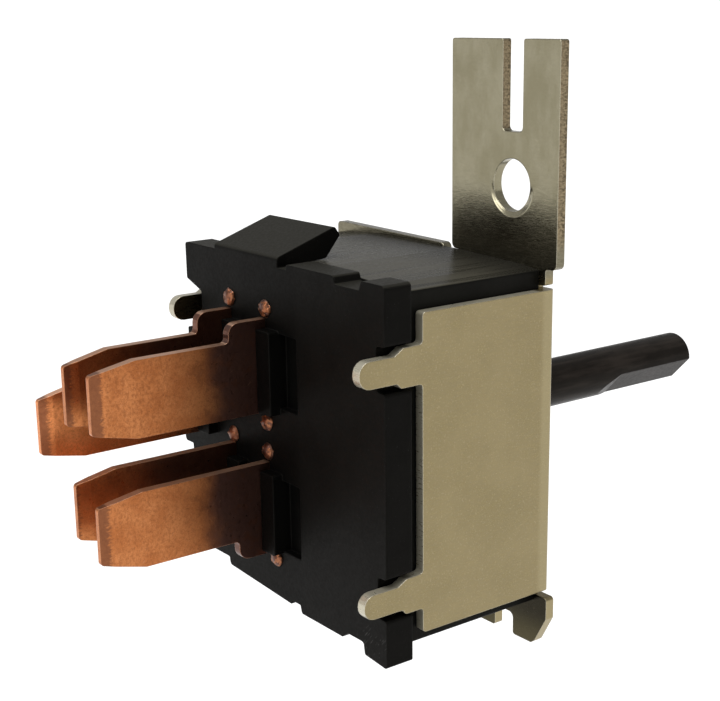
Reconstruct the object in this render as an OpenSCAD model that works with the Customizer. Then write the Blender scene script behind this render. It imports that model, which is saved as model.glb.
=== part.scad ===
// Rotary blower control switch: a moulded rotary switch with five copper
// blades, held in one folded steel bracket.
// Millimetres. The origin is on the shaft axis at the front face of the
// bracket's plate, +Z up, +Y to the rear where the blades are.

/* [Bracket] */
// Sheet thickness of the bracket
sheet_t = 0.85; // [0.7:0.05:0.9]
// Width over the two side flanges
bracket_w = 28.5; // [28.4:0.05:28.7]
// Rear edge of the side flanges
flange_y = 13.65; // [12.5:0.05:14.2]
// Height of the top of the side flanges above the shaft axis
flange_top = 12.95; // [12.4:0.05:13.0]
// Depth of the bottom of the side flanges below the shaft axis
flange_bottom = 12.75; // [12.2:0.05:12.8]
// Outside radius of the two bends
bend_r = 0.4; // [0.3:0.05:0.8]
// Height of the top of the mounting ear above the shaft axis
ear_top = 32.35; // [28.5:0.05:36]
// Radius of the screw hole in the ear
ear_hole_r = 2.12; // [1.5:0.01:2.6]
// Height of the screw hole above the shaft axis
ear_hole_z = 20.9; // [19.5:0.1:21.5]
// Width of the open slot in the top of the ear
ear_slot_w = 2.35; // [1.6:0.05:3]

/* [Housing] */
// Outside width of the moulded housing
housing_w = 26.5; // [26.3:0.05:26.55]
// Height of the middle of the housing's crowned top above the shaft axis
housing_top = 14.95; // [14.85:0.05:15.0]
// Depth of the housing's bottom below the shaft axis
housing_bottom = 13.9; // [13.6:0.05:14.0]
// Rear face of the housing, where the terminal board seats
housing_y = 14.7; // [14.7:0.05:14.7]

/* [Terminal board] */
// Thickness of the board
board_t = 2.55; // [2.45:0.05:2.8]
// Height of the raised ribs beside the blades
rib_h = 1.0; // [0.6:0.1:1.5]
// Depth of the recesses beside the ribs
recess_d = 0.7; // [0.4:0.1:0.9]
// Highest point of the connector lock ramp
ramp_top = 17.55; // [16.55:0.1:18.55]

/* [Blades] */
// Thickness of the copper blades
blade_t = 0.8; // [0.7:0.05:0.8]
// Distance of the blade tips behind the bracket's front face
blade_tip = 33.2; // [31:0.1:36]
// Thickness of a blade at its coined tip
tip_t = 0.45; // [0.35:0.05:0.6]

/* [Shaft] */
// Diameter of the control shaft
shaft_d = 4.5; // [4:0.1:5]
// Length of the shaft in front of the bracket
shaft_l = 31.2; // [26:0.1:38]
// Distance of the flat from the shaft axis
flat_r = 1.62; // [1.6:0.02:1.9]
// Length of the flat, with its run-out
flat_l = 12.6; // [8:0.1:18]

/* [Switch action] */
// Angle between two switch positions
step_deg = 30; // [30:30:30]
// Radius of the circle of fixed contacts
contact_r = 9.4; // [9.4:0.05:9.45]
// Radius of a detent ball
ball_r = 1.25; // [1.1:0.05:1.25]

/* [Hidden] */
$fn = 48;

hw = bracket_w / 2;          // outside face of a flange
by = housing_y + board_t;    // rear face of the board
sr = shaft_d / 2;
foot_t = 0.8;                // thickness of the terminals' inner feet
cl = 0.05;                   // clearance round the feet in the board
xa = 1.64;                   // blade planes, the face towards -X
xb = 6.85;
xc = 11.63;
hole_x = -9.95;              // middle of the ear's slot and hole

// ---- helpers ----
function unit(v) = v / norm(v);
function turn(d) = d > 180 ? d - 360 : d < -180 ? d + 360 : d;
// Arc that rounds corner b, between a and c, to radius r
function fillet(a, b, c, r, n) =
  r <= 0 ? [b] :
  let (u = unit(a - b), v = unit(c - b), h = acos(u * v) / 2,
       m = b + unit(u + v) * r / sin(h),
       p = b + u * r / tan(h) - m, q = b + v * r / tan(h) - m,
       s = atan2(p[1], p[0]), e = turn(atan2(q[1], q[0]) - s))
  [for (i = [0:n]) m + r * [cos(s + e * i / n), sin(s + e * i / n)]];
// Outline whose points are [x, y, corner radius]
function outline(p, n = 5) =
  [for (i = [0:len(p) - 1])
    let (k = len(p), a = p[(i + k - 1) % k], b = p[i], c = p[(i + 1) % k])
    each fillet([a[0], a[1]], [b[0], b[1]], [c[0], c[1]], b[2], n)];
// Outline in X and Z, as a slab between two values of Y
module slab_y(y0, y1) translate([0, y1, 0]) rotate([90, 0, 0]) linear_extrude(y1 - y0) children();
// Outline in Y and Z, as a slab between two values of X
module slab_x(x0, x1) translate([x0, 0, 0]) rotate([90, 0, 90]) linear_extrude(x1 - x0) children();
module box(a, b) translate(a) cube(b - a);
// Round bar along Y
module bar(x, z, r, y0, y1) translate([x, y1, z]) rotate([90, 0, 0]) cylinder(r = r, h = y1 - y0);
function polar(r, a) = [r * cos(a), r * sin(a)];

// Helical coil spring along +Z, swept as one closed tube
module coil(r, wire, len, turns, sides = 6, steps = 10) {
  n = round(turns * steps);
  pts = [for (i = [0:n], j = [0:sides - 1])
    let (a = 360 * i / steps, b = 360 * j / sides,
         rise = wire + (len - 2 * wire) * i / n)
    [(r + wire * cos(b)) * cos(a), (r + wire * cos(b)) * sin(a), rise + wire * sin(b)]];
  side = [for (i = [0:n - 1], j = [0:sides - 1])
    let (k = (j + 1) % sides)
    each [[i * sides + j, (i + 1) * sides + j, (i + 1) * sides + k],
          [i * sides + j, (i + 1) * sides + k, i * sides + k]]];
  polyhedron(points = pts,
    faces = concat([[for (j = [0:sides - 1]) j]], side,
                   [[for (j = [sides - 1:-1:0]) n * sides + j]]), convexity = 8);
}

// ---- bracket ----
// The front plate with its lip, its mounting ear and its lower foot
module plate_outline() polygon(outline([
  [-12.9, -12.2, 0], [-12.9, -13.25, 0.2], [-14.85, -13.25, 0.3], [-14.85, -15.1, 0.3],
  [-13.55, -17.45, 0.2], [-13.1, -17.8, 0.2], [-10.85, -17.8, 0.25], [-10.85, -15.85, 0.5], [-8.6, -15.85, 0.5],
  [-8.6, -17.75, 0.25], [-6.3, -17.75, 0.2], [-5.85, -17.4, 0.2], [-4.55, -15.1, 0.3],
  [-4.55, -13.85, 0.3], [13.6, -13.85, 0.35], [13.6, -13.1, 0.25], [12.9, -13.1, 0.2], [12.9, -12.2, 0],
  [12.9, 12.4, 0], [12.9, 13.4, 0.2], [13.8, 13.4, 0.3], [13.8, 15.45, 0.4], [-1.6, 15.2, 0.5],
  [-1.65, 14.0, 0.3], [-3.5, 14.0, 0.3], [-3.5, 14.95, 0.15], [-2.65, 14.95, 0.5], [-2.65, ear_top, 0.25],
  [hole_x + ear_slot_w / 2, ear_top, 0.2], [hole_x + ear_slot_w / 2, ear_top - 7.2, 0.4],
  [hole_x - ear_slot_w / 2, ear_top - 7.2, 0.4], [hole_x - ear_slot_w / 2, ear_top, 0.2],
  [-15.2, ear_top, 0.25], [-15.2, 14.6, 0.5], [-14.0, 14.6, 0.25], [-14.0, 13.25, 0.2],
  [-12.9, 13.25, 0.15], [-12.9, 12.4, 0]]));
// One side flange with its two rear prongs; the upper prong ends at tip,
// raised by up
module flange_outline(tip, up) polygon(outline([
  [-1, -flange_bottom, 0], [flange_y, -flange_bottom, 0.3],
  [flange_y, -10.7, 0.3], [15.4, -10.7, 0.3], [15.7, -10.3, 0.2], [19.4, -10.3, 0.95], [19.4, -8.3, 0.95],
  [16.1, -8.3, 0.3], [15.3, -7.85, 0.4], [flange_y, -7.75, 0.3],
  [flange_y, 7.45 + up, 0.3], [15.7, 7.45 + up, 0.2], [16.1, 7.85 + up, 0.3], [tip, 7.85 + up, 1.0], [tip, 9.97 + up, 1.0],
  [16.3, 9.97 + up, 0.3], [15.5, 10.5 + up, 0.4], [flange_y, 10.55 + up, 0.3],
  [flange_y, flange_top, 0.3], [-1, flange_top, 0]]));
// Plan of the folded channel
module channel_plan() difference() {
  polygon(outline([[-hw, 0, bend_r], [hw, 0, bend_r], [hw, 24, 0], [-hw, 24, 0]], 8));
  polygon(outline([[-hw + sheet_t, sheet_t, 0], [hw - sheet_t, sheet_t, 0],
                   [hw - sheet_t, 25, 0], [-hw + sheet_t, 25, 0]], 5));
}
module bracket() color([0.62, 0.58, 0.46]) difference() {
  union() {
    intersection() {
      translate([0, 0, -20]) linear_extrude(40) channel_plan();
      union() {
        slab_x(-20, 0.5) flange_outline(19.6, 0);
        slab_x(0, 20) flange_outline(19.1, 0.55);
      }
    }
    slab_y(0, sheet_t) plate_outline();
  }
  bar(0, 0, 3.05, -1, 2);
  bar(hole_x, ear_hole_z, ear_hole_r, -1, 2);
  for (x = [-11, 11]) bar(x, -8.5, 1.25, -1, 2);
}

// ---- housing ----
module housing() color([0.12, 0.12, 0.12]) difference() {
  union() {
    slab_y(sheet_t, housing_y) polygon(outline([
      [-housing_w / 2, -housing_bottom, 0.2], [housing_w / 2, -housing_bottom, 0.2],
      [housing_w / 2, housing_top - 0.45, 0.2], [8, housing_top, 0], [-3, housing_top, 0],
      [-11, housing_top - 0.27, 0], [-housing_w / 2, housing_top - 0.5, 0.2]]));
    // Pegs that key the housing into the bracket's plate
    for (x = [-11, 11]) bar(x, -8.5, 1.2, 0.1, 1.5);
  }
  // Bearing for the rotor, detent track, contact chamber
  bar(0, 0, 3.05, -1, 4);
  bar(0, 0, 10.75, 3, 9);
  bar(0, 0, 11.4, 8.8, 16);
  for (a = [0:step_deg:359]) let (p = polar(9.6, a)) bar(p[0], p[1], 1.6, 4.4, 7.8);
}

// ---- terminal board ----
module board_outline() polygon(outline([
  [-14.2, -14.9, 0.25], [-11.35, -14.65, 0.2], [-11.2, -13.65, 0.3], [-9.1, -13.65, 0.2],
  [-8.4, -14.2, 0.25], [-2.65, -14.2, 0.25], [-2.45, -13.5, 0.1], [-1.35, -13.5, 0.1],
  [-1.15, -13.85, 0.15], [8.5, -13.3, 0.3], [8.65, -12.6, 0.15], [14.2, -12.6, 0.5],
  [14.2, -10.9, 0.2], [13.1, -10.9, 0.3], [13.1, -7.5, 0.3], [14.2, -7.5, 0.2],
  [14.2, -3.3, 0.15], [15.55, -3.3, 0.35], [15.55, 3.2, 0.35], [14.2, 3.2, 0.15],
  [14.2, 7.6, 0.2], [12.9, 7.6, 0.3], [12.4, 8.2, 0.2], [11.65, 8.2, 0.3], [11.65, 11.15, 0.3],
  [14.05, 12.0, 0.2], [14.1, 15.2, 0.3], [9.0, 15.2, 0], [9.0, 14.8, 0],
  [-1.55, 14.8, 0.1], [-1.6, 15.25, 0.2], [-7.9, 15.25, 0.25], [-8.15, 14.6, 0.15],
  [-11.15, 14.6, 0.15], [-11.45, 15.35, 0.25], [-14.2, 15.35, 0.35],
  [-14.2, 10.75, 0.25], [-13.15, 10.75, 0.3], [-13.15, 7.2, 0.3], [-14.2, 7.2, 0.25],
  [-14.2, -7.5, 0.25], [-13.15, -7.5, 0.3], [-13.15, -10.9, 0.3], [-14.2, -10.9, 0.25]]));
// Wedge that locks a connector on
module lock_ramp() slab_x(-0.3, 9.2) polygon(outline([
  [by, 13.8, 0], [by, 15.6, 0.4], [11.45, ramp_top, 0.2], [10.95, ramp_top - 0.75, 0.15],
  [12.4, 15.05, 0.3], [15.0, 14.9, 0.2], [15.0, 13.8, 0]]));
module terminal_board() color([0.1, 0.1, 0.1]) difference() {
  union() {
    slab_y(housing_y, by) board_outline();
    lock_ramp();
    // Ribs beside the blades
    for (x = [xa, xb]) for (s = [-1, 1])
      slab_y(by - 0.5, by + rib_h) polygon(outline([
        [x - 1.95, s * 2.55, 0.2], [x - cl, s * 2.55, 0.1], [x - cl, s * 9.6, 0.1], [x - 1.95, s * 9.6, 0.2]]));
    slab_y(by - 0.5, by + rib_h) polygon(outline([
      [xc - 1.95, -1.3, 0.2], [xc - cl, -1.3, 0.1], [xc - cl, 5.7, 0.1], [xc - 1.95, 5.7, 0.2]]));
    // Track for the idle arms of the contact bridge
    intersection() {
      difference() {
        bar(0, 0, contact_r + 0.75, 13.8, housing_y + 0.5);
        bar(0, 0, contact_r - 0.75, 13.4, housing_y);
      }
      slab_y(13.4, 15.4) polygon(concat([[0, 0]], [for (a = [83:7:277]) polar(16, a)]));
    }
  }
  // Recesses beside the ribs
  for (s = [-1, 1]) {
    slab_y(by - recess_d, by + 3) polygon(outline([
      [-2.8, s * 3.1, 0.2], [xa - 1.95, s * 3.1, 0.05], [xa - 1.95, s * 9.4, 0.05], [-2.8, s * 9.4, 0.2]]));
    slab_y(by - recess_d, by + 3) polygon(outline([
      [3.1, s * 3.1, 0.2], [xb - 1.95, s * 3.1, 0.05], [xb - 1.95, s * 9.4, 0.05], [3.1, s * 9.4, 0.2]]));
  }
  // Pivot hole of the rotor
  bar(0, 0, 1.03, 13, 16.0);
  feet_and_slots(cl);
}

// ---- terminals ----
// Each terminal: blade plane; foot as [x0, z0, x1, z1]; finger that carries
// the contact button as [x0, x1, z]; lugs as [x, z]; blade as [edge, far edge,
// tip edge, tip far edge, shoulder edge, taper start, tip, shoulder end]
ta = [xa, [1.25, 0.95, 2.8, 11.85], [1.7, 3.95, 3.49], [[1.75, 1.5], [1.6, 11.2]],
      [2.45, 8.75, 3.3, 8.04, 10.35, 29.25, blade_tip, 20.8]];
tb = [xb, [6.3, 0.95, 8.0, 11.95], [7.0, 9.05, 4.7], [[7.1, 1.6], [7.0, 11.3]],
      [2.35, 8.65, 2.82, 7.77, 10.4, 28.9, blade_tip - 0.4, 20.6]];
tc = [xc, [11.53, -2.85, 12.78, 7.25], [8.5, 12.5, 0], [[12.05, 6.6]],
      [-1.45, 4.9, -0.7, 4.0, 5.95, 29.2, blade_tip - 0.15, 20.6]];
te = [xb, [6.3, -10.65, 8.0, -0.1], [7.0, 9.05, -4.7], [[7.1, -0.75], [7.0, -10.0]],
      [-1.45, -7.75, -2.17, -6.88, -9.35, 28.8, blade_tip - 0.8, 20.5]];
td = [xa, [1.25, -10.95, 2.8, -0.42], [1.7, 5.6, -8.14], [[1.75, -1.05], [0.85, -10.3]],
      [-1.95, -8.3, -2.62, -7.3, -10.0, 29.2, blade_tip - 0.1, 20.45]];

module rect(x0, z0, x1, z1, g)
  polygon([[x0 - g, z0 - g], [x1 + g, z0 - g], [x1 + g, z1 + g], [x0 - g, z1 + g]]);
// Inner foot of a terminal with its finger
module foot(t, g)
  slab_y(housing_y - g / 5, housing_y + foot_t + (g > 0 ? 0.02 : 0)) union() {
    rect(t[1][0], t[1][1], t[1][2], t[1][3], g);
    rect(t[2][0], t[2][2] - 0.9, t[2][1], t[2][2] + 0.9, g);
    if (len(t[3]) > 1 && t[3][1][0] < t[1][0]) rect(0.3, -10.95, 2, -9.7, g);
  }
// Staking lugs through the board, with peened heads
module lugs(t, g) for (p = t[3]) {
  bar(p[0], p[1], 0.45 + g, housing_y + foot_t - 0.1, by + (g > 0 ? 1 : 0.1));
  if (g == 0) intersection() {
    translate([p[0], by - 0.55, p[1]]) sphere(r = 0.95);
    bar(p[0], p[1], 0.74, by, by + 2);
  }
}
module blade_shape(b) polygon(outline([
  [housing_y + 0.1, b[0], 0], [b[5], b[0], 0.6], [b[6], b[2], 0.3], [b[6], b[3], 0.3], [b[5], b[1], 0.6],
  [b[7], b[1], 0.4], [b[7], b[4], 0.9], [housing_y + 0.1, b[4], 0]]));
// A blade with both faces coined towards its tip
module blade(x, b) intersection() {
  slab_x(x, x + blade_t) blade_shape(b);
  translate([0, 0, -20]) linear_extrude(40) polygon([
    [x - 0.1, 14], [x - 0.1, b[6] - 3], [x, b[6] - 1.25], [x + (blade_t - tip_t) / 2, b[6] + 0.02],
    [x + (blade_t + tip_t) / 2, b[6] + 0.02], [x + blade_t, b[6] - 1.25], [x + blade_t + 0.1, b[6] - 3],
    [x + blade_t + 0.1, 14]]);
}
module slot(x, b) box([x - cl, housing_y + 0.1, min(b[0], b[4]) - cl], [x + blade_t + cl, by + 3, max(b[0], b[4]) + cl]);

module feet_and_slots(g) for (t = [ta, tb, tc, td, te]) {
  foot(t, g);
  lugs(t, g);
  slot(t[0], t[4]);
}
module terminal(t, c) color([0.72, 0.45, 0.28]) difference() {
  union() {
    foot(t, 0);
    lugs(t, 0);
    blade(t[0], t[4]);
  }
  bar(c[0], c[1], 0.45, housing_y - 1, housing_y + foot_t + 0.01);
}
ca = polar(4.6, 49.3);
cb = polar(contact_r, 30);
cc = polar(contact_r, 0);
ce = polar(contact_r, -30);
cd = polar(contact_r, -60);
module terminal_upper_inner() terminal(ta, ca);
module terminal_upper_outer() terminal(tb, cb);
module terminal_side() terminal(tc, cc);
module terminal_lower_outer() terminal(te, ce);
module terminal_lower_inner() terminal(td, cd);

// ---- contact buttons ----
module button(c, y0) color([0.8, 0.8, 0.78]) {
  bar(c[0], c[1], 0.75, y0, housing_y);
  bar(c[0], c[1], 0.43, housing_y - 0.2, housing_y + foot_t);
}
module contact_upper_inner() button(ca, 13.35);
module contact_upper_outer() button(cb, 13.8);
module contact_side() button(cc, 13.8);
module contact_lower_outer() button(ce, 13.8);
module contact_lower_inner() button(cd, 13.8);

// ---- rotor ----
disc_y0 = 3.6;
disc_y1 = 8.6;
ball_y = 6.1;
arms = [60, 205, 275];
springs = [0, 130, 230];
module rotor_shaft() color([0.14, 0.12, 0.11]) difference() {
  union() {
    bar(0, 0, sr, -shaft_l, 0.5);
    bar(0, 0, 3.0, 0, disc_y0 + 0.5);
    bar(0, 0, 9.0, disc_y0, disc_y1);
    box([-2.2, disc_y1 - 0.5, -2.2], [2.2, 13.4, 2.2]);
    bar(0, 0, 1.0, 12.9, 15.9);
  }
  // Flat with its run-out
  rotate([0, 46, 0]) slab_x(-4, 4) polygon([[-shaft_l - 1, -flat_r], [-shaft_l + flat_l - 2.7, -flat_r],
    [-shaft_l + flat_l, -sr - 0.05], [-shaft_l + flat_l, -4], [-shaft_l - 1, -4]]);
  // Radial pockets of the detent springs and balls
  for (a = [0, 180]) rotate([0, a, 0]) translate([0, ball_y, 4.6]) cylinder(r = 1.35, h = 6);
  // Pockets of the contact springs
  for (a = springs) let (p = polar(5.6, a)) bar(p[0], p[1], 1.45, 5.2, 10);
}
module contact_bridge() color([0.74, 0.47, 0.3]) union() {
  difference() {
    union() {
      bar(0, 0, 7.0, 12.7, 13.3);
      for (a = arms) rotate([0, -a, 0]) {
        box([0, 12.7, -1.3], [contact_r, 13.3, 1.3]);
        bar(contact_r, 0, 1.3, 12.7, 13.3);
      }
    }
    box([-2.3, 12, -2.3], [2.3, 14, 2.3]);
  }
  // Pressed dimples that ride on the fixed contacts
  for (a = arms) let (p = polar(contact_r, a))
    intersection() {
      translate([p[0], 12.55, p[1]]) sphere(r = 1.2);
      bar(p[0], p[1], 1.2, 12.9, 15);
    }
}
module contact_spring(a) color([0.7, 0.7, 0.72]) let (p = polar(5.6, a))
  translate([p[0], 5.2, p[1]]) rotate([-90, 0, 0]) coil(1.05, 0.17, 7.5, 6);
module contact_spring_side() contact_spring(springs[0]);
module contact_spring_upper() contact_spring(springs[1]);
module contact_spring_lower() contact_spring(springs[2]);

module ball(s) color([0.75, 0.75, 0.77]) translate([0, ball_y, s * (10.55 - ball_r)]) sphere(r = ball_r);
module detent_ball_upper() ball(1);
module detent_ball_lower() ball(-1);
module detent_spring(a) color([0.7, 0.7, 0.72])
  rotate([0, a, 0]) translate([0, ball_y, 4.65]) coil(0.95, 0.16, 3.6, 4);
module detent_spring_upper() detent_spring(0);
module detent_spring_lower() detent_spring(180);

module thrust_washer() color([0.66, 0.66, 0.66]) difference() {
  bar(0, 0, 5.6, 3.05, 3.55);
  bar(0, 0, 3.15, 3, 3.6);
}

bracket();
housing();
terminal_board();
rotor_shaft();
thrust_washer();
terminal_upper_inner();
terminal_upper_outer();
terminal_side();
terminal_lower_outer();
terminal_lower_inner();
contact_upper_inner();
contact_upper_outer();
contact_side();
contact_lower_outer();
contact_lower_inner();
contact_bridge();
contact_spring_side();
contact_spring_upper();
contact_spring_lower();
detent_ball_upper();
detent_ball_lower();
detent_spring_upper();
detent_spring_lower();
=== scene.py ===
import bpy, bmesh, math, random
from mathutils import Matrix, Vector, noise


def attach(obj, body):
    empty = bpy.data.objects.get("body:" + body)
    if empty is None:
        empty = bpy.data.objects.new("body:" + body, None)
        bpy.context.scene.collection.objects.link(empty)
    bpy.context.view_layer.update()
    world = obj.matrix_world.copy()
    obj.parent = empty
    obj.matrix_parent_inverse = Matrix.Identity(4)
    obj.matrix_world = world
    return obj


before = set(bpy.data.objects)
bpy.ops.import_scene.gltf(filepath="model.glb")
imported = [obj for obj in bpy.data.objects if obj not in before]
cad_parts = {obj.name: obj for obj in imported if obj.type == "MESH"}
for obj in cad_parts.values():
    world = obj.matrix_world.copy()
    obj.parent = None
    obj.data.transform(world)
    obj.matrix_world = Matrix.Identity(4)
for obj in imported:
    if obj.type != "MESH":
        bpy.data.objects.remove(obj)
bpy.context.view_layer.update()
MM = 0.001
scene = bpy.context.scene


# ---------------------------------------------------------------- node helpers
class Mat:
    """One node material, built from small helpers. Lengths are metres."""

    def __init__(self, name):
        self.m = bpy.data.materials.new(name)
        self.m.use_nodes = True
        self.t = self.m.node_tree
        self.b = self.t.nodes["Principled BSDF"]
        self.co = self.t.nodes.new("ShaderNodeTexCoord")
        self.obj = self.co.outputs["Object"]
        self.nrm = self.co.outputs["Normal"]

    def new(self, kind, **props):
        n = self.t.nodes.new(kind)
        for k, v in props.items():
            setattr(n, k, v)
        return n

    def put(self, socket, v):
        if isinstance(v, bpy.types.NodeSocket):
            self.t.links.new(v, socket)
        elif isinstance(v, tuple) and len(v) == 3 and socket.type == "RGBA":
            socket.default_value = (*v, 1.0)
        else:
            socket.default_value = v

    def set(self, name, v):
        self.put(self.b.inputs[name], v)

    def math(self, op, a, b=0.0, clamp=False):
        n = self.new("ShaderNodeMath", operation=op, use_clamp=clamp)
        self.put(n.inputs[0], a)
        self.put(n.inputs[1], b)
        return n.outputs[0]

    def add(self, a, b): return self.math("ADD", a, b)
    def mul(self, a, b): return self.math("MULTIPLY", a, b)

    def ramp(self, v, a, b, lo=0.0, hi=1.0, smooth=True):
        n = self.new("ShaderNodeMapRange", interpolation_type="SMOOTHSTEP" if smooth else "LINEAR")
        n.clamp = True
        self.put(n.inputs["Value"], v)
        for k, x in (("From Min", a), ("From Max", b), ("To Min", lo), ("To Max", hi)):
            n.inputs[k].default_value = x
        return n.outputs["Result"]

    def xyz(self, v):
        n = self.new("ShaderNodeSeparateXYZ")
        self.put(n.inputs[0], v)
        return n.outputs[0], n.outputs[1], n.outputs[2]

    def scaled(self, s, shift=(0.0, 0.0, 0.0)):
        n = self.new("ShaderNodeMapping")
        self.put(n.inputs["Vector"], self.obj)
        n.inputs["Scale"].default_value = s
        n.inputs["Location"].default_value = shift
        return n.outputs[0]

    def noise(self, s, detail=4.0, rough=0.55, shift=(0.0, 0.0, 0.0), distort=0.0):
        """s: cells per metre on each axis."""
        if not isinstance(s, tuple):
            s = (s, s, s)
        n = self.new("ShaderNodeTexNoise", noise_dimensions="3D")
        self.put(n.inputs["Vector"], self.scaled(s, shift))
        n.inputs["Scale"].default_value = 1.0
        n.inputs["Detail"].default_value = detail
        n.inputs["Roughness"].default_value = rough
        n.inputs["Distortion"].default_value = distort
        return n.outputs["Fac"]

    def mix(self, f, a, b, kind="MIX"):
        n = self.new("ShaderNodeMix", data_type="RGBA", blend_type=kind)
        self.put(n.inputs[0], f)
        self.put(n.inputs[6], a)
        self.put(n.inputs[7], b)
        return n.outputs[2]

    def bevel(self, radius, samples=4):
        n = self.new("ShaderNodeBevel", samples=samples)
        n.inputs["Radius"].default_value = radius
        return n.outputs[0]

    def edge(self, radius, a=0.02, b=0.22):
        """1 near a rounded edge, 0 on the flats."""
        bv = self.bevel(radius)
        g = self.new("ShaderNodeNewGeometry")
        d = self.new("ShaderNodeVectorMath", operation="DOT_PRODUCT")
        self.put(d.inputs[0], bv)
        self.put(d.inputs[1], g.outputs["Normal"])
        return self.ramp(self.math("SUBTRACT", 1.0, d.outputs["Value"]), a, b)

    def bump(self, height, strength, distance, normal=None):
        n = self.new("ShaderNodeBump")
        n.inputs["Strength"].default_value = strength
        n.inputs["Distance"].default_value = distance
        self.put(n.inputs["Height"], height)
        if normal is not None:
            self.put(n.inputs["Normal"], normal)
        self.set("Normal", n.outputs[0])
        return n.outputs[0]

    def scratches(self, s, density, shift=(0.0, 0.0, 0.0), turn=(0.0, 0.0, 0.0)):
        """Thin broken lines along the axis with the smallest scale."""
        v = self.new("ShaderNodeMapping")
        self.put(v.inputs["Vector"], self.obj)
        v.inputs["Rotation"].default_value = turn
        v.inputs["Location"].default_value = shift
        w = self.new("ShaderNodeMapping")
        self.put(w.inputs["Vector"], v.outputs[0])
        w.inputs["Scale"].default_value = s
        n = self.new("ShaderNodeTexNoise", noise_dimensions="3D")
        self.put(n.inputs["Vector"], w.outputs[0])
        n.inputs["Scale"].default_value = 1.0
        n.inputs["Detail"].default_value = 1.0
        return self.ramp(n.outputs["Fac"], density, density + 0.05)


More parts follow.
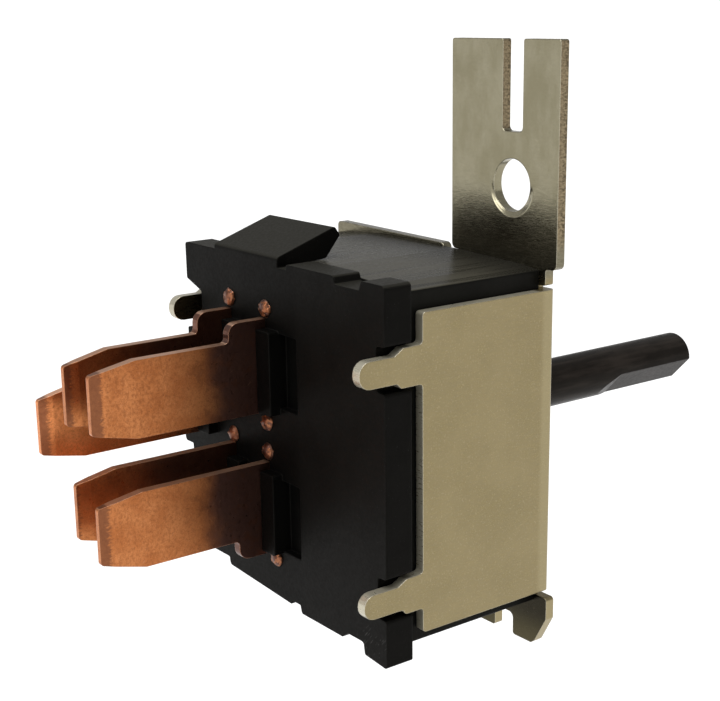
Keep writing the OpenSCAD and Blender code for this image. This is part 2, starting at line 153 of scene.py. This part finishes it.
# ---------------------------------------------------------------- materials
def steel():
    k = Mat("plated_steel_sheet")
    x, y, z = k.xyz(k.obj)
    nx, ny, nz = k.xyz(k.nrm)
    fine = k.noise((1500.0, 1500.0, 9000.0), 3.0, 0.6)
    speck = k.noise(7000.0, 2.0, 0.6)
    cloud = k.noise((230.0, 230.0, 230.0), 3.0, 0.5)
    base = k.mix(k.ramp(cloud, 0.3, 0.7), (0.243, 0.196, 0.100), (0.272, 0.220, 0.115))
    base = k.mix(k.ramp(fine, 0.3, 0.7, 0.0, 0.35), base, (0.24, 0.20, 0.12))
    base = k.mix(k.ramp(speck, 0.56, 0.72, 0.0, 0.35), base, (0.40, 0.34, 0.22))
    # the ear is greyer and greener than the flanges, with fine level grain
    ear = k.ramp(z, 13.4 * MM, 14.6 * MM)
    grain = k.noise((1900.0, 1900.0, 9500.0), 4.0, 0.7, shift=(5.0, 2.0, 1.0))
    mott = k.noise((900.0, 900.0, 350.0), 4.0, 0.7, shift=(3.0, 8.0, 2.0))
    earc = k.mix(k.ramp(k.math("MULTIPLY", k.add(cloud, mott), 0.5), 0.36, 0.64), (0.222, 0.204, 0.136), (0.286, 0.266, 0.190))
    base = k.mix(k.mul(ear, 0.85), base, earc)
    zone = k.mul(ear, k.ramp(z, 21.8 * MM, 18.6 * MM))
    earg = k.mix(k.ramp(grain, 0.35, 0.66), (0.17, 0.155, 0.105), (0.34, 0.315, 0.225))
    base = k.mix(k.mul(zone, 0.55), base, earg)
    # darker towards the root of the ear
    ear_root_darkening = k.mul(ear, k.ramp(k.add(z, k.mul(k.math("SUBTRACT", grain, 0.5), 5.0 * MM)), 20.6 * MM, 15.6 * MM))
    base = k.mix(k.mul(ear_root_darkening, 0.42), base, (0.062, 0.052, 0.034))
    # sheared edges of the ear: brown, pitted, with striations
    inside = k.mul(k.ramp(y, 0.02 * MM, 0.05 * MM), k.ramp(y, 0.84 * MM, 0.81 * MM))
    side = k.mul(k.math("LESS_THAN", k.math("ABSOLUTE", ny), 0.3), k.math("LESS_THAN", k.math("ABSOLUTE", nz), 0.5))
    cut = k.mul(k.mul(inside, side), k.ramp(z, 15.5 * MM, 17.5 * MM))
    # the bore is plated smooth: keep the shear marks off it
    bx = k.math("ADD", x, 9.95 * MM)
    bz = k.math("SUBTRACT", z, 20.9 * MM)
    rad = k.math("SQRT", k.add(k.mul(bx, bx), k.mul(bz, bz)))
    cut = k.mul(cut, k.ramp(rad, 2.3 * MM, 2.6 * MM))
    # painted highlight: a pale ring around the lower half of the bore
    bore_ring_painted_highlight = k.mul(k.mul(k.ramp(rad, 2.75 * MM, 2.45 * MM), k.ramp(rad, 2.05 * MM, 2.2 * MM)), k.mul(ear, k.ramp(z, 20.4 * MM, 19.4 * MM)))
    base = k.mix(k.mul(bore_ring_painted_highlight, 0.75), base, (0.42, 0.385, 0.27))
    stri = k.noise((9000.0, 3200.0, 6500.0), 3.0, 0.7)
    band = k.ramp(k.add(y, k.mul(stri, 0.30 * MM)), 0.42 * MM, 0.62 * MM)
    sheared = k.mix(k.ramp(stri, 0.36, 0.62), (0.085, 0.062, 0.036), (0.330, 0.262, 0.160))
    sheared = k.mix(k.mul(band, 0.35), sheared, (0.29, 0.228, 0.140))
    base = k.mix(k.mul(cut, 0.95), base, sheared)
    # painted shade: the bracket's lower tab is painted dark, lightening towards its bottom
    bottom_tab_painted_shade = k.mul(k.ramp(z, -12.9 * MM, -13.2 * MM), k.ramp(ny, 0.6, 0.85))
    bottom_tab_shade_colour = k.mix(k.ramp(z, -14.5 * MM, -17.8 * MM), (0.0070, 0.0064, 0.0042), (0.0480, 0.0410, 0.0205))
    base = k.mix(k.mul(bottom_tab_painted_shade, 0.95), base, bottom_tab_shade_colour)
    # painted highlight: a paler band on the flanges beside the bend
    bend_painted_highlight = k.mul(k.mul(k.ramp(k.math("ABSOLUTE", nx), 0.6, 0.85), k.ramp(y, 1.55 * MM, 0.95 * MM)), k.ramp(z, 13.4 * MM, 12.9 * MM))
    base = k.mix(k.mul(bend_painted_highlight, 0.40), base, (0.37, 0.315, 0.185))
    # the prongs' rounded ends and the edges of the folded sheet are painted paler: partly rubbed bright metal, partly
    # a painted highlight
    prong_ends_worn_and_highlighted = k.mul(k.ramp(k.math("ABSOLUTE", nx), 0.5, 0.3), k.ramp(y, 1.2 * MM, 2.0 * MM))
    base = k.mix(k.mul(prong_ends_worn_and_highlighted, 0.60), base, (0.56, 0.54, 0.45))
    # edges painted paler: partly wear, partly a painted highlight
    edges_worn_and_highlighted = k.edge(0.10 * MM)
    base = k.mix(k.mul(edges_worn_and_highlighted, 0.55), base, (0.68, 0.64, 0.52))
    hair = k.scratches((700.0, 13000.0, 13000.0), 0.72, turn=(0.3, 0.5, 0.2))
    base = k.mix(k.mul(k.mul(hair, k.ramp(bottom_tab_painted_shade, 0.0, 1.0, 1.0, 0.15)), 0.30), base, (0.46, 0.42, 0.30))
    hair2 = k.scratches((13000.0, 13000.0, 1100.0), 0.74, turn=(0.1, 0.2, 0.5))
    base = k.mix(k.mul(hair2, 0.25), base, (0.16, 0.13, 0.08))
    k.set("Base Color", base)
    k.set("Metallic", k.ramp(prong_ends_worn_and_highlighted, 0.0, 1.0, 1.0, 0.62))
    r = k.add(k.ramp(cloud, 0.3, 0.7, 0.29, 0.32), k.mul(ear, -0.10))
    r = k.add(r, k.ramp(fine, 0.3, 0.7, -0.04, 0.05))
    k.set("Roughness", k.add(r, k.mul(cut, 0.30)))
    h = k.add(k.mul(fine, 0.35), k.add(k.mul(speck, 0.3), k.mul(k.mul(cut, stri), 4.0)))
    h = k.add(h, k.mul(k.mul(zone, grain), 2.2))
    ease = k.new("ShaderNodeBump")
    ease.inputs["Strength"].default_value = 1.0
    ease.inputs["Distance"].default_value = 0.22 * MM
    k.put(ease.inputs["Height"], k.mul(k.mul(k.ramp(rad, 2.10 * MM, 2.60 * MM, -1.0, 0.0), ear), k.ramp(z, 21.2 * MM, 19.3 * MM)))
    k.put(ease.inputs["Normal"], k.bevel(0.12 * MM, 6))
    k.bump(h, 0.30, 0.012 * MM, ease.outputs[0])
    return k.m


def plastic(name, dark, light, rough, kind):
    k = Mat(name)
    x, y, z = k.xyz(k.obj)
    nx, ny, nz = k.xyz(k.nrm)
    grain = k.noise(4200.0, 3.0, 0.6)
    cloud = k.noise(300.0, 4.0, 0.6)
    base = k.mix(k.ramp(cloud, 0.3, 0.7), dark, light)
    rr = k.ramp(grain, 0.3, 0.7, rough - 0.05, rough + 0.06)
    h = k.mul(grain, 1.0)
    if kind == "housing":
        # flow streaks along Y on the moulded top; the top is also painted lighter towards +Y and along the streaks, a
        # painted sheen standing in for the reflection of the bright surroundings, darker near the ear
        top = k.mul(k.ramp(nz, 0.7, 0.9), k.ramp(z, 12.0 * MM, 13.0 * MM))
        st = k.noise((2300.0, 55.0, 400.0), 4.0, 0.65)
        fine = k.noise((9000.0, 260.0, 900.0), 2.0, 0.6, shift=(3.0, 1.0, 0.0))
        s = k.mul(top, k.add(k.mul(k.ramp(st, 0.40, 0.64), 0.6), k.mul(k.ramp(fine, 0.5, 0.7), 0.4)))
        top_painted_sheen = k.mul(top, k.ramp(y, 1.0 * MM, 9.0 * MM, 0.12, 1.0))
        base = k.mix(k.mul(top_painted_sheen, k.ramp(st, 0.36, 0.60, 0.45, 1.0)), base, (0.040, 0.0375, 0.029))
        base = k.mix(k.mul(k.mul(s, top_painted_sheen), 0.45), base, (0.062, 0.058, 0.045))
        rr = k.add(k.mul(rr, k.ramp(top, 0.0, 1.0, 1.0, 0.62)), k.mul(s, 0.10))
        h = k.add(h, k.mul(k.mul(top, st), 2.6))
    if kind == "board":
        # pale rub marks near the lower corner of the board, and a few on its edges
        low = k.mul(k.mul(k.ramp(z, -11.6 * MM, -13.0 * MM), k.ramp(x, -10.0 * MM, -11.2 * MM)), k.ramp(ny, 0.6, 0.8))
        a = k.scratches((9500.0, 9500.0, 620.0), 0.665, turn=(0.0, 0.75, 0.1))
        b = k.scratches((9500.0, 9500.0, 700.0), 0.68, shift=(0.4, 0.2, 0.1), turn=(0.2, 0.6, 0.0))
        rub = k.mul(low, k.math("MAXIMUM", a, b))
        base = k.mix(k.mul(rub, 0.18), base, (0.20, 0.20, 0.19))
        c = k.scratches((500.0, 9000.0, 9000.0), 0.735, shift=(0.1, 0.0, 0.3), turn=(0.4, 0.3, 0.9))
        base = k.mix(k.mul(c, 0.30), base, (0.05, 0.05, 0.048))
        h = k.add(h, k.mul(rub, 0.8))
    if kind == "board":
        # painted shade: the board beside the inner blades is painted almost black
        recess_painted_shade = k.mul(k.ramp(k.math("ABSOLUTE", k.math("SUBTRACT", x, 1.2 * MM)), 4.6 * MM, 3.4 * MM), k.ramp(y, 16.3 * MM, 16.45 * MM))
        base = k.mix(k.mul(recess_painted_shade, 0.6), base, (0.0008, 0.0008, 0.0008))
        # painted light: the upward-facing top of the board is painted lighter
        board_top_painted_light = k.mul(k.ramp(nz, 0.30, 0.75), k.ramp(z, 12.5 * MM, 14.0 * MM))
        base = k.mix(board_top_painted_light, base, (0.017, 0.0163, 0.0135))
    if kind == "shaft":
        ring = k.noise((1400.0, 160.0, 1400.0), 3.0, 0.6)
        base = k.mix(k.ramp(ring, 0.4, 0.7, 0.0, 0.5), base, (0.030, 0.024, 0.020))
        h = k.add(h, k.mul(ring, 1.2))
    # moulded edges catch a little light and are rubbed slightly paler
    edges_worn_and_highlighted = k.edge(0.16 * MM)
    base = k.mix(k.mul(edges_worn_and_highlighted, k.ramp(cloud, 0.3, 0.6, 0.25, 0.6)), base, tuple(v * 2.0 + 0.008 for v in light))
    k.set("Base Color", base)
    k.set("Specular Tint", (1.0, 0.92, 0.76))
    k.set("Roughness", rr)
    k.set("Specular IOR Level", 0.07 if kind == "shaft" else 0.05)
    k.bump(h, 0.28, 0.02 * MM, k.bevel(0.18 * MM, 6))
    return k.m


def copper(name, board_reflection_depth=None, strength=0.88, soft=1.0, gain=1.0):
    """Bare stamped copper; the blade is painted dark towards the board, a painted reflection of the black board, from
    the given depth in mm.
    """
    k = Mat(name)
    x, y, z = k.xyz(k.obj)
    nx, ny, nz = k.xyz(k.nrm)
    grain = k.noise(3600.0, 5.0, 0.7)
    speck = k.noise(9000.0, 2.0, 0.6, shift=(2.0, 4.0, 1.0))
    cloud = k.noise(420.0, 4.0, 0.6)
    base = k.mix(k.ramp(cloud, 0.32, 0.68), (0.42, 0.140, 0.044), (0.53, 0.198, 0.069))
    base = k.mix(k.ramp(grain, 0.42, 0.66, 0.0, 0.55), base, (0.27, 0.088, 0.030))
    base = k.mix(k.ramp(speck, 0.60, 0.72, 0.0, 0.5), base, (0.15, 0.045, 0.018))
    base = k.mix(k.ramp(speck, 0.40, 0.30, 0.0, 0.35), base, (0.60, 0.28, 0.13))
    if board_reflection_depth is not None:
        # painted reflection of the black board: the blade darkens towards the board
        w = k.add(y, k.mul(k.math("SUBTRACT", cloud, 0.5), 2.2 * MM))
        d = k.ramp(w, (board_reflection_depth + 1.0 * soft) * MM, (board_reflection_depth - 1.6 * soft) * MM)
        base = k.mix(k.mul(d, strength), base, (0.060, 0.035, 0.034))
        # irregular darker patches near the board
        patchy_darkening = k.ramp(k.noise(900.0, 4.0, 0.65, shift=(7.0, 1.0, 2.0)), 0.52, 0.66)
        near = k.ramp(w, (board_reflection_depth + 5.0) * MM, (board_reflection_depth - 0.5) * MM)
        base = k.mix(k.mul(k.mul(near, patchy_darkening), 0.45), base, (0.13, 0.045, 0.020))
    # sheared upper and lower edges are paler, coined tips a little darker
    flat = k.ramp(k.math("ABSOLUTE", nz), 0.75, 0.9)
    base = k.mix(k.mul(flat, 0.75), base, (0.58, 0.35, 0.23))
    tip = k.mul(k.ramp(k.math("ABSOLUTE", ny), 0.06, 0.11), k.ramp(k.math("ABSOLUTE", ny), 0.6, 0.4))
    rag = k.noise((1800.0, 1800.0, 5200.0), 3.0, 0.7, shift=(1.0, 5.0, 3.0))
    tip = k.mul(tip, k.ramp(k.add(y, k.mul(k.math("SUBTRACT", rag, 0.5), 1.5 * MM)), 32.05 * MM, 32.45 * MM))
    base = k.mix(k.mul(tip, 0.80), base, (0.165, 0.062, 0.032))
    # edges painted paler: partly wear, partly a painted highlight
    edges_worn_and_highlighted = k.edge(0.09 * MM)
    base = k.mix(k.mul(edges_worn_and_highlighted, 0.50), base, (0.55, 0.29, 0.17))
    hair = k.scratches((11000.0, 900.0, 11000.0), 0.74, turn=(0.8, 0.1, 0.0))
    base = k.mix(k.mul(hair, 0.22), base, (0.55, 0.30, 0.18))
    if gain != 1.0:
        base = k.mix(1.0, base, gain if isinstance(gain, tuple) else (gain, gain, gain), "MULTIPLY")
    k.set("Base Color", base)
    k.set("Metallic", 0.95)
    k.set("Roughness", k.add(k.ramp(grain, 0.3, 0.7, 0.27, 0.42), k.mul(flat, 0.06)))
    k.bump(k.add(k.mul(grain, 0.7), k.mul(speck, 0.35)), 0.4, 0.02 * MM, k.bevel(0.09 * MM, 6))
    return k.m


def bright(name, col, rough, metal=1.0, wire=False):
    k = Mat(name)
    g = k.noise((6000.0, 6000.0, 6000.0), 3.0, 0.6)
    c = k.noise(700.0, 3.0, 0.6)
    base = k.mix(k.ramp(c, 0.3, 0.7), tuple(v * 0.86 for v in col), col)
    # edges painted paler: partly wear, partly a painted highlight
    edges_worn_and_highlighted = k.edge(0.05 * MM)
    base = k.mix(k.mul(edges_worn_and_highlighted, 0.4), base, tuple(min(1.0, v * 1.2) for v in col))
    if wire:
        base = k.mix(k.ramp(g, 0.5, 0.7, 0.0, 0.4), base, tuple(v * 0.55 for v in col))
    k.set("Base Color", base)
    k.set("Metallic", metal)
    k.set("Roughness", k.ramp(g, 0.3, 0.7, rough - 0.05, rough + 0.07))
    k.bump(g, 0.2, 0.008 * MM, k.bevel(0.05 * MM))
    return k.m


M_STEEL = steel()
M_HOUSING = plastic("black_housing_moulded", (0.0040, 0.0040, 0.0036), (0.0065, 0.0064, 0.0056), 0.42, "housing")
M_BOARD = plastic("black_board_moulded", (0.0017, 0.0017, 0.0016), (0.0029, 0.0028, 0.0026), 0.50, "board")
M_SHAFT = plastic("black_shaft_moulded", (0.0060, 0.0048, 0.0040), (0.0095, 0.0076, 0.0062), 0.34, "shaft")
M_COPPER_A = copper("copper_blade_upper", 22.8)
M_COPPER_D = copper("copper_blade_lower", 23.3)
M_COPPER_IN = copper("copper_blade_outer", 28.0, strength=0.74, soft=2.6)
# painted light: the side blade's copper is painted 1.5 times brighter than the other blades
M_COPPER_C = copper("copper_blade_side", 19.0, gain=1.5)
M_COPPER = copper("copper_plain")
M_STAKE = copper("copper_peened", gain=(0.60, 0.68, 1.00))
M_SILVER = bright("contact_silver_face", (0.80, 0.79, 0.76), 0.32)
M_SPRING = bright("spring_steel_wire", (0.56, 0.56, 0.57), 0.30, wire=True)
M_WASHER = bright("washer_steel", (0.60, 0.59, 0.57), 0.36)
M_BALL = bright("ball_steel_polished", (0.74, 0.74, 0.75), 0.14)

LOOK = {"bracket": M_STEEL, "housing": M_HOUSING, "terminal_board": M_BOARD, "rotor_shaft": M_SHAFT,
        "thrust_washer": M_WASHER, "terminal_upper_inner": M_COPPER_A, "terminal_upper_outer": M_COPPER_IN,
        "terminal_side": M_COPPER_C, "terminal_lower_outer": M_COPPER_IN, "terminal_lower_inner": M_COPPER_D,
        "contact_bridge": M_COPPER}
for name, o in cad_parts.items():
    m = LOOK.get(name)
    if m is None:
        m = M_SILVER if name.startswith("contact_upper") or name.startswith("contact_lower") or name == "contact_side" else \
            M_BALL if "ball" in name else M_SPRING
    if name.startswith("contact_spring"):
        m = M_SPRING
    o.data.materials.clear()
    o.data.materials.append(m)


# ---------------------------------------------------------------- peened stakes
def stake(name, x, z, w, h, seed):
    """Irregular head of a copper lug, spread over the board's rear face."""
    rnd = random.Random(seed)
    bm = bmesh.new()
    bmesh.ops.create_icosphere(bm, subdivisions=4, radius=1.0)
    off = Vector((rnd.uniform(0, 9), rnd.uniform(0, 9), rnd.uniform(0, 9)))
    for v in bm.verts:
        p = v.co.copy()
        n = noise.fractal(p * 1.9 + off, 0.9, 2.1, 4)
        dent = max(0.0, 1.0 - (p - Vector((0.25, 0.9, 0.2))).length * 1.6)
        q = p * (1.0 + 0.26 * n - 0.34 * dent)
        v.co = Vector((q.x * w / 2, max(q.y, -0.35) * 0.38, q.z * h / 2))
    me = bpy.data.meshes.new(name)
    bm.to_mesh(me)
    bm.free()
    for p in me.polygons:
        p.use_smooth = True
    me.transform(Matrix.Translation((x, 17.25, z)))
    me.transform(Matrix.Scale(MM, 4))
    o = bpy.data.objects.new(name, me)
    scene.collection.objects.link(o)
    me.materials.append(M_STAKE)
    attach(o, "switch_body")
    return o


STAKES = [("upper_inner_low", 1.75, 1.5, 1.5, 1.25, 3), ("upper_inner_high", 1.6, 11.2, 1.5, 1.4, 5),
          ("upper_outer_low", 7.1, 1.6, 1.4, 1.1, 7), ("upper_outer_high", 7.0, 11.3, 1.6, 1.4, 11),
          ("side_high", 12.05, 6.6, 1.4, 1.2, 17),
          ("lower_outer_high", 7.1, -0.75, 1.4, 1.1, 19), ("lower_outer_low", 7.0, -10.0, 1.5, 1.3, 23),
          ("lower_inner_high", 1.75, -1.05, 1.5, 1.2, 29), ("lower_inner_low", 0.85, -10.3, 1.5, 1.3, 31)]
for n, x, z, w, h, seed in STAKES:
    stake("stake_" + n, x, z, w, h, seed)


# ---------------------------------------------------------------- stage, light, camera
def pale_floor(name, z):
    """A flat disc that rises gently far out, so that it fills the view behind the object."""
    bm = bmesh.new()
    rings = [(0.0, 0.0), (0.5, 0.0), (1.0, 0.012), (3.0, 0.26), (9.0, 1.02)]
    n = 72
    rows = []
    for r, h in rings[1:]:
        rows.append([bm.verts.new((r * math.cos(2 * math.pi * i / n), r * math.sin(2 * math.pi * i / n), h)) for i in range(n)])
    bm.faces.new(rows[0])
    for a, b in zip(rows, rows[1:]):
        for i in range(n):
            j = (i + 1) % n
            bm.faces.new((a[i], b[i], b[j], a[j]))
    bmesh.ops.recalc_face_normals(bm, faces=bm.faces)
    me = bpy.data.meshes.new(name)
    bm.to_mesh(me)
    bm.free()
    for p in me.polygons:
        p.use_smooth = True
    o = bpy.data.objects.new(name, me)
    o.location = (0, 0, z)
    scene.collection.objects.link(o)
    m = bpy.data.materials.new(name)
    m.use_nodes = True
    b = m.node_tree.nodes["Principled BSDF"]
    b.inputs["Base Color"].default_value = (0.93, 0.93, 0.93, 1.0)
    b.inputs["Roughness"].default_value = 0.9
    b.inputs["Specular IOR Level"].default_value = 0.0
    me.materials.append(m)
    return o


floor = pale_floor("floor", -0.120)

world = bpy.data.worlds.new("studio")
scene.world = world
world.use_nodes = True
bg = world.node_tree.nodes["Background"]
bg.inputs["Color"].default_value = (1.0, 1.0, 1.0, 1.0)
bg.inputs["Strength"].default_value = 0.45


def sun(name, direction, strength, angle):
    d = bpy.data.lights.new(name, "SUN")
    d.energy = strength
    d.angle = math.radians(angle)
    o = bpy.data.objects.new(name, d)
    o.rotation_mode = "QUATERNION"
    o.rotation_quaternion = Vector(direction).to_track_quat("-Z", "Y")
    scene.collection.objects.link(o)
    return o


def area(name, loc, target, size, power, colour=(1, 1, 1)):
    d = bpy.data.lights.new(name, "AREA")
    d.shape = "SQUARE"
    d.size = size
    d.energy = power
    d.color = colour
    o = bpy.data.objects.new(name, d)
    o.location = loc
    o.rotation_mode = "QUATERNION"
    o.rotation_quaternion = (Vector(target) - Vector(loc)).to_track_quat("-Z", "Y")
    scene.collection.objects.link(o)
    return o


sun("overhead_soft", (0.12, -0.22, -1.0), 2.6, 50)
area("left_softbox", (0.10, 0.50, 0.22), (0, 0.01, 0), 0.30, 0.9)

cd = bpy.data.cameras.new("camera")
cam = bpy.data.objects.new("camera", cd)
scene.collection.objects.link(cam)
scene.camera = cam
cd.sensor_fit = "HORIZONTAL"
cd.sensor_width = 36.0
cd.lens = 70.59
cd.shift_x = -0.0014
cd.shift_y = 0.0336
cd.clip_start = 0.005
cd.clip_end = 50.0
yaw, pitch, roll = math.radians(-36.88), math.radians(-14.59), math.radians(-0.77)
F = Vector((0.7741, -0.5808, -0.2519)).normalized()
R = Vector((-0.6028, -0.7978, -0.0130))
R = (R - F * R.dot(F)).normalized()
U = R.cross(F)
rot = Matrix(((R.x, U.x, -F.x), (R.y, U.y, -F.y), (R.z, U.z, -F.z)))
cam.matrix_world = Matrix.Translation((-0.093274, 0.078729, 0.034868)) @ rot.to_4x4()

scene.view_settings.view_transform = "Standard"
scene.view_settings.look = "None"
